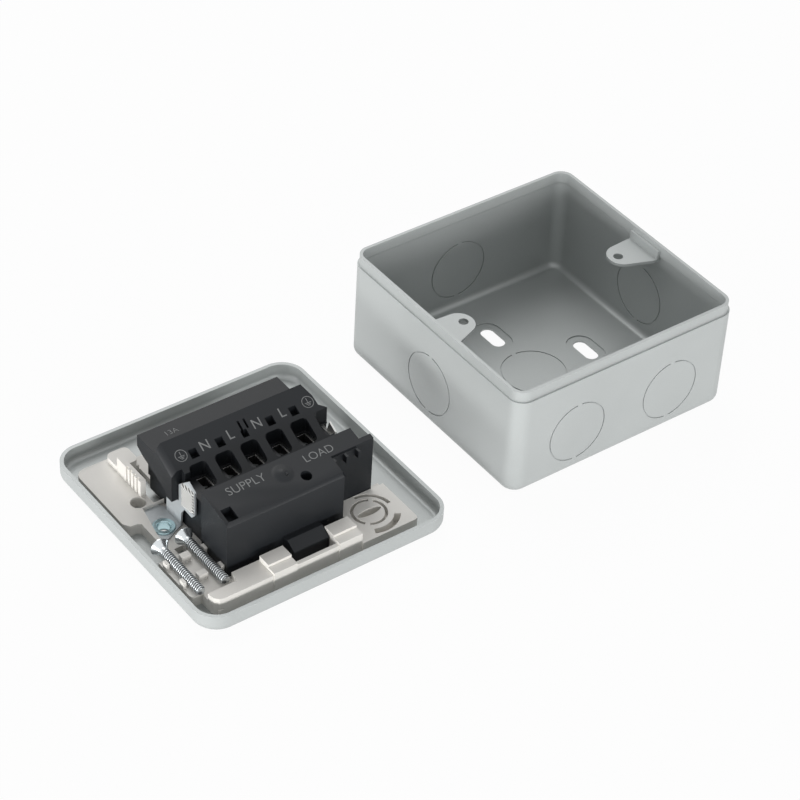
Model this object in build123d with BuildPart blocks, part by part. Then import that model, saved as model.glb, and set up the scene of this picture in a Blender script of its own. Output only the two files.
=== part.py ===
"""Metal clad fused spur unit: a drawn steel back box and, beside it, its face plate assembly lying face down.

Frame: the origin is the middle of the back box's underside. X and Y run along the box walls, Z is up.
The face plate lies along -X from the box on the same floor, with its terminal module on top.
"""
from build123d import *
import math
import os

os.makedirs("parts", exist_ok=True)

# Back box
box_side = 83.8
box_height = 38.5
sheet = 1.0
box_corner_r = 5.0
box_floor_r = 3.0
collar_step = 0.6
collar_height = 3.5

# Knockouts in the back box
knockout_r = 10.3
knockout_z = 15.0
knockout_pair_x = 18.0
score_width = 0.4
score_depth = 0.3
score_tab = 1.6

# Wall fixing slots in the floor of the back box
slot_width = 4.7
slot_length = 10.0
slot_offset = 21.0
slot_land = 2.3
slot_sink = 0.4

# Fixing lugs of the back box
fixing_centres = 60.3
lug_top = 33.9
lug_tip_r = 5.0
lug_reach = 1.7
lug_root_far = 5.4
lug_root_near = 7.8
lug_flange = 3.0
fixing_thread_r = 1.75
tapped_bore_r = 1.55

# Face plate
plate_side = 85.6
plate_sheet = 1.2
plate_rim = 6.2
plate_corner_r = 8.0
plate_edge_r = 2.7
plate_to_box = 21.6
plate_x = -(box_side / 2 + plate_to_box + plate_side / 2)
fixing_bore_r = 1.9
countersink_r = 2.7

# Backing moulding behind the face plate
web = 2.0
pad_top = 5.0
wall_top = 7.4
wall_thick = 1.3
block_top = 9.2

# Terminal module
pitch = 8.7
ways = 6
first_way = -19.2
window_width = 6.0
window_far = -0.35
housing_left = -27.6
housing_far = 18.1
strip_top = 24.6
strip_right = 21.1
ridge_y = 8.2
ridge_top = 27.9
face_slope = 0.53
valley_y = -14.0
recess_left = -24.0
base_thick = 4.8
window_floor = 14.0

# Fuse block at the near side of the module
fuse_left = -26.3
fuse_right = 13.9
fuse_near = -27.1
fuse_top_near = 22.9
fuse_top_slope = 0.23
wing_near = -20.0
wing_far = -18.3
wing_right = 29.0
shoulder_right = 24.9

# Cartridge fuse and its carrier
fuse_length = 25.4
fuse_r = 3.175
fuse_tube_r = 2.9
fuse_cap_length = 6.2
fuse_z = 11.0
carrier_length = 31.0
carrier_width = 10.4
carrier_face = 3.0
carrier_inset = 0.2
carrier_slack = 0.25
stem_length = 12.4
clip_sheet = 0.6
clip_slack = 0.25
clip_width = 5.0

# Terminals
terminal_width = 5.6
terminal_length = 8.6
terminal_height = 9.6
terminal_screw_r = 1.5
terminal_screw_length = 4.4
wire_bore_r = 1.5
channel_width = 5.0
running_gap = 0.05
seat_gap = 0.1

# Conductors between the fuse clips and the terminals
bar_thick = 0.6
bar_width = 2.4
bar_shift = 2.6
link_width = 2.0
link_thick = 0.6
link_drop = 0.9

# Loose fixing screws
screw_length = 22.0
screw_head_r = 3.3
screw_head_height = 1.9
screw_shank_r = 1.7
screw_head_y = -9.0

# Places worked out from the sizes above
half_box = box_side / 2
ledge_z = box_height - collar_height
collar_inner = half_box - collar_step - sheet
half_plate = plate_side / 2
web_top = plate_sheet + web
base_top = web_top + base_thick
lug_x = fixing_centres / 2
fuse_u = (fuse_left + fuse_right) / 2
fuse_y = (fuse_near + valley_y) / 2
way_places = [first_way + pitch * i for i in range(ways)]
terminal_y = window_far - seat_gap - terminal_length / 2
clip_roof = fuse_z + fuse_r + clip_slack + clip_sheet
clip_places = [fuse_u + side * (fuse_length - fuse_cap_length) / 2 for side in (-1, 1)]
bar_y = fuse_y + bar_shift
live_bars = (("live_bar_in", clip_places[0], way_places[2]), ("live_bar_out", clip_places[1], way_places[4]))
base_links = (("neutral_link", way_places[1], way_places[3], terminal_y + 2.2),
              ("earth_link", way_places[0], way_places[5], terminal_y - 2.2))


def at_z(z):
    """A plane level with the floor, at height z over the middle of the face plate."""
    return Plane((plate_x, 0, z))


def at_u(u):
    """A plane square to X, at u from the middle of the face plate, with local x along Y."""
    return Plane.YZ.offset(plate_x + u)


def slab(left, right, near, far):
    """A rectangle between two pairs of edges, in the sketch that is open."""
    with Locations(((left + right) / 2, (near + far) / 2)):
        Rectangle(right - left, far - near)


def face_z(y):
    """Height of the sloping label face at y."""
    return ridge_top + face_slope * (y - ridge_y)


def fuse_top_z(y):
    """Height of the fuse block's top at y."""
    return fuse_top_near + fuse_top_slope * (y - fuse_near)


def bar_outline(clip_place, way_place, grow):
    """Outline of a live bar in the sketch that is open: along the clips, then up to a terminal."""
    left, right = sorted((clip_place, way_place))
    half = bar_width / 2
    slab(left - half - grow, right + half + grow, bar_y - half - grow, bar_y + half + grow)
    slab(way_place - half - grow, way_place + half + grow, bar_y, terminal_y - terminal_length / 2 - seat_gap)


def score(face_plane):
    """A knockout's score line: a shallow ring, left whole at its two tabs."""
    with BuildSketch(face_plane) as ring:
        Circle(knockout_r + score_width / 2)
        Circle(knockout_r - score_width / 2, mode=Mode.SUBTRACT)
        Rectangle(score_tab, 3 * knockout_r, mode=Mode.SUBTRACT)
    extrude(ring.sketch, amount=-score_depth, mode=Mode.SUBTRACT)


# Back box: one drawn sheet with a stepped collar, scored knockouts and wall fixing slots
knockout_planes = [
    Plane((-half_box, 0, knockout_z), x_dir=(0, -1, 0), z_dir=(-1, 0, 0)),
    Plane((half_box, 0, knockout_z), x_dir=(0, 1, 0), z_dir=(1, 0, 0)),
    Plane((-knockout_pair_x, -half_box, knockout_z), x_dir=(1, 0, 0), z_dir=(0, -1, 0)),
    Plane((knockout_pair_x, -half_box, knockout_z), x_dir=(1, 0, 0), z_dir=(0, -1, 0)),
    Plane((0, half_box, knockout_z), x_dir=(-1, 0, 0), z_dir=(0, 1, 0)),
    Plane((0, 0, 0), x_dir=(1, 0, 0), z_dir=(0, 0, -1)),
]
slot_places = [(0, slot_offset), (slot_offset, 0), (0, -slot_offset), (-slot_offset, 0)]

with BuildPart() as back_box:
    with BuildSketch():
        RectangleRounded(box_side, box_side, box_corner_r)
    extrude(amount=ledge_z)
    fillet(back_box.faces().sort_by(Axis.Z)[0].edges(), box_floor_r)
    with BuildSketch(Plane.XY.offset(ledge_z)):
        RectangleRounded(box_side - 2 * collar_step, box_side - 2 * collar_step, box_corner_r - collar_step)
    extrude(amount=collar_height)
    offset(amount=-sheet, openings=back_box.faces().sort_by(Axis.Z)[-1])
    with BuildSketch(Plane.XY.offset(sheet - slot_sink)):
        with Locations(*slot_places):
            SlotOverall(slot_length + 2 * slot_land, slot_width + 2 * slot_land, rotation=90)
    extrude(amount=slot_sink, mode=Mode.SUBTRACT)
    with BuildSketch():
        with Locations(*slot_places):
            SlotOverall(slot_length, slot_width, rotation=90)
    extrude(amount=sheet, mode=Mode.SUBTRACT)
    for plane in knockout_planes:
        score(plane)
        score(Plane(plane.origin - plane.z_dir * sheet, x_dir=plane.x_dir, z_dir=-plane.z_dir))
back_box.part.label = "back_box"
export_step(back_box.part, "parts/back_box.step")


# Fixing lugs: a folded tongue with a tapped hole, its flange welded inside the collar
with BuildPart() as lug_right:
    with BuildSketch(Plane.XY.offset(lug_top - sheet)):
        with Locations((lug_x + lug_reach, 0)):
            Circle(lug_tip_r)
        slab(collar_inner - 2 * sheet, collar_inner - sheet, -lug_root_near, lug_root_far)
        make_hull()
    extrude(amount=sheet)
    with BuildSketch(Plane.XY.offset(lug_top - sheet)):
        slab(collar_inner - sheet, collar_inner, -lug_root_near, lug_root_far)
    extrude(amount=sheet + lug_flange)
    fillet(lug_right.edges().filter_by(Axis.Y).group_by(Axis.X)[-1].sort_by(Axis.Z)[0], 0.8 * sheet)
    with BuildSketch(Plane.XY.offset(lug_top - sheet)):
        with Locations((lug_x, 0)):
            Circle(tapped_bore_r)
    extrude(amount=sheet, mode=Mode.SUBTRACT)
lug_right.part.label = "fixing_lug_right"
export_step(lug_right.part, "parts/fixing_lug_right.step")

with BuildPart() as lug_left:
    mirror(lug_right.part, about=Plane.YZ)
lug_left.part.label = "fixing_lug_left"
export_step(lug_left.part, "parts/fixing_lug_left.step")


# Face plate: a pressed steel tray lying face down
carrier_gap_length = carrier_length + 2 * carrier_slack
carrier_gap_width = carrier_width + 2 * carrier_slack
eyelet_r = 2.55

with BuildPart() as front_plate:
    with BuildSketch(at_z(0)):
        RectangleRounded(plate_side, plate_side, plate_corner_r)
    extrude(amount=plate_rim)
    fillet(front_plate.faces().sort_by(Axis.Z)[0].edges(), plate_edge_r)
    offset(amount=-plate_sheet, openings=front_plate.faces().sort_by(Axis.Z)[-1])
    with BuildSketch(at_z(0)):
        with Locations((fuse_u, fuse_y)):
            RectangleRounded(carrier_gap_length, carrier_gap_width, 1.0)
    extrude(amount=plate_sheet, mode=Mode.SUBTRACT)
    with Locations(*[Location((plate_x + side * lug_x, 0, 0), (180, 0, 0)) for side in (-1, 1)]):
        CounterSinkHole(radius=fixing_bore_r, counter_sink_radius=countersink_r, depth=plate_sheet)
front_plate.part.label = "front_plate"
export_step(front_plate.part, "parts/front_plate.step")


# Backing moulding: the cream insert that carries the module and lines the face plate
left_pad = [(-40.1, 6.4), (-39.4, 32.4), (-28.1, 33.2), (-22.3, 33.2), (-22.3, 18.4), (-24.2, 18.4), (-24.2, 9.3)]
left_pad += [(-34.2, 9.3), (-34.2, -7.0), (-35.4, -7.0), (-35.4, 3.4), (-36.4, 4.2), (-38.6, 4.4)]
near_ledge = [(-36.6, -33.2), (-36.6, -37.3), (-17.0, -37.3), (-17.0, -29.6), (-26.4, -29.6), (-27.0, -33.2)]
tray_left = -40.1
tray_right = -26.4
tray_near = -33.6
tray_far = -13.0
near_edge = -37.3
latch_blocks = [(-17.1, -9.2), (5.4, 13.4)]
latch_near = -37.6
latch_far = -29.9
dial_u = 22.5
dial_y = -28.2
dial_ring_r = 5.1
dial_slot_r = 8.0
screw_places = [-37.25, -29.15]
cradle_places = [(-39.55, 1.0), (-33.3, 3.0), (-26.85, 1.0)]

with BuildPart() as backing_moulding:
    with BuildSketch(at_z(plate_sheet)):
        slab(-35.4, 30.0, near_edge, 31.0)
        slab(tray_left, tray_right, tray_near, tray_far)
        slab(13.3, 33.2, -38.2, -17.7)
        for left, right in latch_blocks:
            slab(left, right, latch_near, latch_far)
        with BuildLine():
            Polyline(*left_pad, close=True)
        make_face()
    extrude(amount=web)
    with BuildSketch(at_z(web_top)):
        with BuildLine():
            Polyline(*left_pad, close=True)
        make_face()
        slab(tray_left, tray_right, tray_near, tray_far)
        slab(13.4, 33.2, -38.2, -27.9)
        slab(15.0, 33.2, -38.2, -20.2)
    extrude(amount=pad_top - web_top)
    # Near ledge, the thin rim between the latch blocks, and the blocks
    with BuildSketch(at_z(web_top)):
        with BuildLine():
            Polyline(*near_ledge, close=True)
        make_face()
        slab(-17.0, 13.0, near_edge, near_edge + wall_thick)
    extrude(amount=wall_top - web_top)
    with BuildSketch(at_z(web_top)):
        for left, right in latch_blocks:
            slab(left, right, latch_near, latch_far)
    extrude(amount=block_top - web_top)
    # Raised far block and the ribbed wall beside the module
    with BuildSketch(at_z(pad_top)):
        slab(-27.9, -22.3, 26.0, 33.2)
    extrude(amount=2.0)
    with BuildSketch(at_z(pad_top)):
        slab(-29.5, housing_left - seat_gap, 13.5, 26.0)
    extrude(amount=5.8)
    # Holes for the fixing screws, the eyelet and the fuse carrier
    with BuildSketch(at_z(plate_sheet)):
        with Locations((-lug_x, 0), (lug_x, 0)):
            Circle(eyelet_r + seat_gap)
        with Locations((-31.5, 11.7)):
            Circle(3.0)
        with Locations((-30.8, -10.4)):
            Rectangle(3.0, 3.0)
        with Locations((fuse_u, fuse_y)):
            Rectangle(carrier_gap_length, carrier_gap_width)
    extrude(amount=pad_top, mode=Mode.SUBTRACT)
    # Dial in the near right pad: an eye shaped slot inside a ring groove and two broad arcs
    with BuildSketch(at_z(pad_top - 1.2)):
        with Locations((dial_u, dial_y)):
            Circle(dial_ring_r + 0.35)
            Circle(dial_ring_r - 0.35, mode=Mode.SUBTRACT)
            Rectangle(1.6, 3 * dial_ring_r, rotation=40, mode=Mode.SUBTRACT)
        with Locations((dial_u, dial_y)):
            Ellipse(4.0, 1.0)
    extrude(amount=1.2, mode=Mode.SUBTRACT)
    with BuildSketch(at_z(web_top)):
        with Locations((dial_u, dial_y)):
            SlotArc(CenterArc((0, 0), dial_slot_r, -110, 70), 1.8)
            SlotArc(CenterArc((0, 0), dial_slot_r, 85, 50), 1.8)
    extrude(amount=pad_top, mode=Mode.SUBTRACT)
    # Small blocks that hold the two loose screws
    with BuildSketch(at_z(pad_top)):
        for place, width in cradle_places:
            for y in (-16.2, -25.0):
                slab(place - width / 2, place + width / 2, y - 1.0, y + 1.0)
    extrude(amount=2.4)
backing_moulding.part.label = "backing_moulding"
export_step(backing_moulding.part, "parts/backing_moulding.step")


# Module base: the black floor that carries the terminals
with BuildPart() as module_base:
    with BuildSketch(at_z(web_top)):
        slab(recess_left, 24.0, valley_y + seat_gap, housing_far - 1.0)
    extrude(amount=base_thick)
    # Grooves for the links
    with BuildSketch(at_z(base_top - link_drop - link_thick - seat_gap)):
        for name, left, right, y in base_links:
            slab(left - link_width - seat_gap, right + link_width + seat_gap, y - link_width / 2 - seat_gap,
                 y + link_width / 2 + seat_gap)
    extrude(amount=base_thick, mode=Mode.SUBTRACT)
module_base.part.label = "module_base"
export_step(module_base.part, "parts/module_base.step")


# Module cover: stepped strip, ridge and the sloping label face with its windows
cover_plan = [
    (housing_left, housing_far), (strip_right, housing_far), (strip_right, ridge_y), (22.6, ridge_y),
    (24.1, 4.2), (24.3, 1.3), (26.4, -0.3), (25.6, -2.4), (25.0, -4.0), (25.0, valley_y), (housing_left, valley_y),
]
cover_profile = [
    (valley_y, base_top), (housing_far, base_top), (housing_far, strip_top), (ridge_y, strip_top),
    (ridge_y, ridge_top), (valley_y, face_z(valley_y)),
]
undercut = [(valley_y, base_top), (valley_y, ridge_top), (window_far, ridge_top), (window_far, 12.5), (2.4, 12.5), (3.5, 14.7), (15.1, 18.8), (19.0, 21.0), (19.0, base_top)]
channel = [(window_far, base_top), (19.0, base_top), (19.0, 17.0), (6.0, 19.0), (window_far, 15.0)]

with BuildPart() as module_cover:
    with BuildSketch(at_z(base_top)):
        with BuildLine():
            Polyline(*cover_plan, close=True)
        make_face()
    extrude(amount=ridge_top)
    with BuildSketch(at_u(housing_left - 1.0)):
        with BuildLine():
            Polyline(*cover_profile, close=True)
        make_face()
    extrude(amount=2 * plate_side, mode=Mode.INTERSECT)
    with BuildSketch(at_u(housing_left)):
        with BuildLine():
            Polyline(*undercut, close=True)
        make_face()
    extrude(amount=recess_left - housing_left, mode=Mode.SUBTRACT)
    # Windows over the terminals, the end ones open at the sides
    with BuildSketch(at_z(window_floor)):
        for place in way_places:
            slab(place - window_width / 2, place + window_width / 2, valley_y, window_far)
        slab(housing_left - 1.0, first_way, valley_y, window_far)
        slab(way_places[-1], way_places[-1] + window_width, valley_y, window_far - 2.0)
    extrude(amount=ridge_top, mode=Mode.SUBTRACT)
    # Terminal wells and the wire channels behind them
    with BuildSketch(at_z(base_top)):
        for place in way_places:
            slab(place - window_width / 2, place + window_width / 2, terminal_y - terminal_length / 2 - seat_gap, window_far)
    extrude(amount=ridge_top, mode=Mode.SUBTRACT)
    for place in way_places:
        with BuildSketch(at_u(place - channel_width / 2)):
            with BuildLine():
                Polyline(*channel, close=True)
            make_face()
        extrude(amount=channel_width, mode=Mode.SUBTRACT)
    # Small square pockets in the label face
    with BuildSketch(at_z(face_z(2.3) - 2.5)):
        with Locations(*[(u, 2.3) for u in (-18.3, -9.3, 8.1, 16.3)]):
            Rectangle(2.6, 2.6)
    extrude(amount=ridge_top, mode=Mode.SUBTRACT)
module_cover.part.label = "module_cover"
export_step(module_cover.part, "parts/module_cover.step")


# Fuse block: the front block with its wing, snap tongue and the chamber for the carrier
fuse_plan = [
    (fuse_left, fuse_near), (fuse_right, fuse_near), (fuse_right, wing_near), (wing_right, wing_near),
    (wing_right, wing_far), (shoulder_right, wing_far), (shoulder_right, valley_y), (fuse_left, valley_y),
]
fuse_profile = [
    (fuse_near, web_top), (valley_y, web_top), (valley_y, fuse_top_z(valley_y)), (fuse_near, fuse_top_z(fuse_near)),
]

with BuildPart() as fuse_block:
    with BuildSketch(at_z(web_top)):
        with BuildLine():
            Polyline(*fuse_plan, close=True)
        make_face()
    extrude(amount=ridge_top)
    with BuildSketch(at_u(fuse_left - 1.0)):
        with BuildLine():
            Polyline(*fuse_profile, close=True)
        make_face()
    extrude(amount=2 * plate_side, mode=Mode.INTERSECT)
    chamfer(fuse_block.edges().filter_by(Axis.X).group_by(Axis.Y)[0].sort_by(Axis.Z)[-1], 1.0)
    # Snap tongue over the moulding's near ledge
    with BuildSketch(at_z(web_top)):
        slab(-7.0, 5.2, -32.6, fuse_near)
    extrude(amount=4.8)
    # Chamber for the fuse carrier, open at the face
    with BuildSketch(at_z(web_top)):
        with Locations((fuse_u, fuse_y)):
            Rectangle(carrier_gap_length, carrier_gap_width)
    extrude(amount=clip_roof - web_top, mode=Mode.SUBTRACT)
    # Slots for the live bars
    with BuildSketch(at_z(clip_roof)):
        for name, clip_place, way_place in live_bars:
            bar_outline(clip_place, way_place, seat_gap)
    extrude(amount=bar_thick + seat_gap, mode=Mode.SUBTRACT)
    # Square pocket and round hole in the top
    with BuildSketch(at_z(fuse_top_z(-23.9) - 3.0)):
        with Locations((-23.4, -23.9)):
            Rectangle(3.4, 4.5)
        with Locations((3.7, -22.5)):
            Circle(1.7)
    extrude(amount=ridge_top, mode=Mode.SUBTRACT)
fuse_block.part.label = "fuse_block"
export_step(fuse_block.part, "parts/fuse_block.step")


# Fuse carrier: the drawer in the face that pulls straight out with the fuse
with BuildPart() as fuse_carrier:
    with BuildSketch(at_z(carrier_inset)):
        with Locations((fuse_u, fuse_y)):
            RectangleRounded(carrier_length, carrier_width, 0.9)
    extrude(amount=carrier_face)
    with BuildSketch(at_z(carrier_inset + carrier_face)):
        with Locations((fuse_u, fuse_y)):
            Rectangle(stem_length, carrier_width)
    extrude(amount=clip_roof - carrier_slack - carrier_inset - carrier_face)
    with BuildSketch(at_u(fuse_u - stem_length / 2)):
        with Locations((fuse_y, fuse_z)):
            Circle(fuse_tube_r + seat_gap)
    extrude(amount=stem_length, mode=Mode.SUBTRACT)
    # Finger slot in the carrier's face
    with BuildSketch(at_z(carrier_inset)):
        with Locations((fuse_u, fuse_y)):
            SlotOverall(9.0, 2.2)
    extrude(amount=1.2, mode=Mode.SUBTRACT)
fuse_carrier.part.label = "fuse_carrier"
export_step(fuse_carrier.part, "parts/fuse_carrier.step")


# Cartridge fuse: a ceramic tube between two metal caps
with BuildPart() as fuse_tube:
    with BuildSketch(at_u(fuse_u - fuse_length / 2 + fuse_cap_length)):
        with Locations((fuse_y, fuse_z)):
            Circle(fuse_tube_r)
    extrude(amount=fuse_length - 2 * fuse_cap_length)
fuse_tube.part.label = "fuse_tube"
export_step(fuse_tube.part, "parts/fuse_tube.step")

for name, start in (("fuse_cap_left", -fuse_length / 2), ("fuse_cap_right", fuse_length / 2 - fuse_cap_length)):
    with BuildPart() as fuse_cap:
        with BuildSketch(at_u(fuse_u + start)):
            with Locations((fuse_y, fuse_z)):
                Circle(fuse_r)
        extrude(amount=fuse_cap_length)
    fuse_cap.part.label = name
    export_step(fuse_cap.part, f"parts/{name}.step")


# Fuse clips: sprung strips over the caps, fixed to the chamber's roof
clip_reach = fuse_r + clip_slack + clip_sheet
for name, place in zip(("fuse_clip_left", "fuse_clip_right"), clip_places):
    with BuildPart() as fuse_clip:
        with BuildSketch(at_u(place - clip_width / 2)):
            slab(fuse_y - clip_reach, fuse_y + clip_reach, fuse_z - fuse_r, clip_roof)
            with Locations((fuse_y, fuse_z - clip_sheet)):
                Rectangle(2 * (clip_reach - clip_sheet), 2 * (fuse_r + clip_slack + clip_sheet), mode=Mode.SUBTRACT)
        extrude(amount=clip_width)
    fuse_clip.part.label = name
    export_step(fuse_clip.part, f"parts/{name}.step")


# Terminals: brass blocks with a wire bore and a clamping screw each
way_names = ["earth_in", "neutral_in", "live_in", "neutral_out", "live_out", "earth_out"]
screw_top = base_top + terminal_height - 1.0
for name, place in zip(way_names, way_places):
    with BuildPart() as terminal:
        with BuildSketch(at_z(base_top)):
            with Locations((place, terminal_y)):
                Rectangle(terminal_width, terminal_length)
        extrude(amount=terminal_height)
        with BuildSketch(Plane.XZ.offset(-terminal_y - terminal_length)):
            with Locations((plate_x + place, base_top + wire_bore_r + 1.0)):
                Circle(wire_bore_r)
        extrude(amount=2 * terminal_length, mode=Mode.SUBTRACT)
        with BuildSketch(at_z(screw_top - terminal_screw_length - running_gap)):
            with Locations((place, terminal_y)):
                Circle(terminal_screw_r + running_gap)
        extrude(amount=terminal_height, mode=Mode.SUBTRACT)
    terminal.part.label = f"terminal_{name}"
    export_step(terminal.part, f"parts/terminal_{name}.step")
    with BuildPart() as clamp_screw:
        with BuildSketch(at_z(screw_top - terminal_screw_length)):
            with Locations((place, terminal_y)):
                Circle(terminal_screw_r)
        extrude(amount=terminal_screw_length)
        with BuildSketch(at_z(screw_top - 0.7)):
            with Locations((place, terminal_y)):
                Rectangle(2 * terminal_screw_r, 0.6)
        extrude(amount=0.7, mode=Mode.SUBTRACT)
    clamp_screw.part.label = f"clamp_screw_{name}"
    export_step(clamp_screw.part, f"parts/clamp_screw_{name}.step")


# Live bars: strips in the fuse block from each clip to its terminal
for name, clip_place, way_place in live_bars:
    with BuildPart() as live_bar:
        with BuildSketch(at_z(clip_roof)):
            bar_outline(clip_place, way_place, 0)
        extrude(amount=bar_thick)
    live_bar.part.label = name
    export_step(live_bar.part, f"parts/{name}.step")


# Links under the terminals: a low strip in a groove of the base, raised at its two ends
for name, left, right, y in base_links:
    with BuildPart() as link:
        with BuildSketch(Plane.XZ.offset(link_width / 2 - y)):
            with Locations((plate_x + (left + right) / 2, base_top - link_drop - link_thick / 2)):
                Rectangle(right - left + 2 * link_width, link_thick)
            for place in (left, right):
                with Locations((plate_x + place, base_top - (link_drop + link_thick) / 2)):
                    Rectangle(2 * link_width, link_drop + link_thick)
        extrude(amount=-link_width)
    link.part.label = name
    export_step(link.part, f"parts/{name}.step")


# Earth strap: the tab over the left fixing hole and the upright leaf beside the first way
strap_sheet = 0.6
strap_tab = [(-31.6, 9.1), (-26.4, 9.1), (-24.8, 7.0), (-24.8, -1.6), (-33.2, -5.6), (-34.0, -3.4)]
strap_leaf = [
    (-1.5, web_top), (6.0, web_top), (6.0, 9.5), (1.5, 12.0), (-0.6, 12.2), (-0.7, 18.5), (-2.8, 20.5),
    (-5.5, 22.9), (-9.0, 21.1), (-9.0, 12.6), (-7.5, 10.8), (-3.6, 11.0), (-2.0, 8.5),
]
with BuildPart() as earth_strap:
    with BuildSketch(at_z(web_top)):
        with BuildLine():
            Polyline(*strap_tab, close=True)
        make_face()
        with Locations((-lug_x, 0)):
            Circle(eyelet_r + seat_gap, mode=Mode.SUBTRACT)
    extrude(amount=strap_sheet)
    with BuildSketch(at_u(-24.8 - strap_sheet)):
        with BuildLine():
            Polyline(*strap_leaf, close=True)
        make_face()
    extrude(amount=strap_sheet)
earth_strap.part.label = "earth_strap"
export_step(earth_strap.part, "parts/earth_strap.step")

# Eyelet: a hollow rivet that holds the strap around the fixing hole
with BuildPart() as earth_eyelet:
    with BuildSketch(at_z(plate_sheet)):
        with Locations((-lug_x, 0)):
            Circle(eyelet_r)
            Circle(eyelet_r - 0.5, mode=Mode.SUBTRACT)
    extrude(amount=web + strap_sheet)
    with BuildSketch(at_z(web_top + strap_sheet)):
        with Locations((-lug_x, 0)):
            Circle(eyelet_r + 0.9)
            Circle(eyelet_r - 0.5, mode=Mode.SUBTRACT)
    extrude(amount=0.5)
    chamfer(earth_eyelet.faces().sort_by(Axis.Z)[-1].edges(), 0.15)
earth_eyelet.part.label = "earth_eyelet"
export_step(earth_eyelet.part, "parts/earth_eyelet.step")


# Loose fixing screws, countersunk, lying between the moulding's small blocks
screw_outline = [
    (0, 0), (screw_head_r, 0), (screw_shank_r, screw_head_height), (screw_shank_r, screw_length - 0.6),
    (screw_shank_r - 0.6, screw_length), (0, screw_length),
]
for name, place in zip(("fixing_screw_left", "fixing_screw_right"), screw_places):
    screw_start = Vector(plate_x + place, screw_head_y, pad_top + screw_shank_r + seat_gap)
    with BuildPart() as fixing_screw:
        with BuildSketch(Plane(screw_start, x_dir=(0, 0, 1), z_dir=(1, 0, 0))):
            with BuildLine():
                Polyline(*screw_outline, close=True)
            make_face()
        revolve(axis=Axis(screw_start, (0, -1, 0)))
    fixing_screw.part.label = name
    export_step(fixing_screw.part, f"parts/{name}.step")
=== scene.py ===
"""Looks for the metal clad fused spur unit: paint, mouldings, terminals, screws, marks and stage."""
import math

import bpy
import numpy as np
from mathutils import Matrix, Vector


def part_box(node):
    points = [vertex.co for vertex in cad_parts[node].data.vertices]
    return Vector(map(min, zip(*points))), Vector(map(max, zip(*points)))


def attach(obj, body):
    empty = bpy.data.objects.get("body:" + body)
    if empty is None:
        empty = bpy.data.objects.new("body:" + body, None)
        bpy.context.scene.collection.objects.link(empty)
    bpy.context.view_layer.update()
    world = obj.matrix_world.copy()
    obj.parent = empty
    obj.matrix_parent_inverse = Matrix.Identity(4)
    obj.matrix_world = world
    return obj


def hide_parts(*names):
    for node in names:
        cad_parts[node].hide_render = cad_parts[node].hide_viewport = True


bl_info = {
    "name": "Fused spur unit",
    "version": (1, 0, 0),
    "blender": (4, 5, 0),
    "location": "3D View > Sidebar > Spur",
    "description": "Dresses a metal clad fused spur unit with paint, mouldings, terminals, screws and marks",
    "category": "Object",
}

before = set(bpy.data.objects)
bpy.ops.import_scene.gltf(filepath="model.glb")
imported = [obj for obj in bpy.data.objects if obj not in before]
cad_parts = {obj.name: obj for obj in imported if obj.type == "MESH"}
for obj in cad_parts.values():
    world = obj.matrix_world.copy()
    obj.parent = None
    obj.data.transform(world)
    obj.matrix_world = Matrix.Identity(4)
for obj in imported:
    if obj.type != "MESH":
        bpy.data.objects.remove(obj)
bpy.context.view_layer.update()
MM = 0.001
UNIT = "unit"

PLATE_LOW, PLATE_HIGH = (Vector(corner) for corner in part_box("front_plate"))
PLATE_X = (PLATE_LOW.x + PLATE_HIGH.x) / 2

# Places on the plate assembly are in millimetres: u along X from PLATE_X, v along Y, z up from the floor.
# Each sloping top is its slope along v and its height at the ridge's line, where v is RIDGE.
RIDGE = 8.2
LABEL_TOP = (0.53, 27.9)
FUSE_TOP = (0.23, 31.02)
STRIP_TOP = (0.0, 24.6)
VALLEY = -14.0
PLATE_TOP = 1.2
WEB_TOP = 3.2
PAD_TOP = 5.0
BASE_TOP = 8.0
TERMINAL_TOP = 17.6
SHROUD_TOP = 18.2
ABOVE = 40.0
FUSE_NEAR = -27.1
CHAMBER = (-21.95, 9.55, -25.98, -15.12)
CLAMP_LINE = -4.75
LEAF_SIDE = -25.4
LEAF_PITCH = 1.1
PRINT_LIFT = 0.03
WAYS = ("earth_in", "neutral_in", "live_in", "neutral_out", "live_out", "earth_out")
WAY_PLACES = [-19.2 + 8.7 * step for step in range(6)]
# Each lamp's name, place, width, height and share of the lamp power, the sizes in metres
LAMPS = (("lamp_left", (-1.25, -0.1, 0.09), 1.4, 0.16, 0.98),
         ("lamp_near", (-0.1, -1.25, 0.16), 1.4, 0.24, 0.72),
         ("lamp_top", (0.1, 0.55, 0.9), 0.6, 0.6, 0.26))


class Wire:
    """A socket in a node tree. Sums, differences and products of wires add their own Math nodes."""

    def __init__(self, graph, socket):
        self.graph = graph
        self.socket = socket

    def maths(self, operation, first, second):
        return self.graph.node("ShaderNodeMath", {"operation": operation}, {0: first, 1: second})

    def __add__(self, other):
        return self.maths("ADD", self, other)

    def __radd__(self, other):
        return self.maths("ADD", other, self)

    def __sub__(self, other):
        return self.maths("SUBTRACT", self, other)

    def __rsub__(self, other):
        return self.maths("SUBTRACT", other, self)

    def __mul__(self, other):
        return self.maths("MULTIPLY", self, other)

    def __rmul__(self, other):
        return self.maths("MULTIPLY", other, self)


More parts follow.
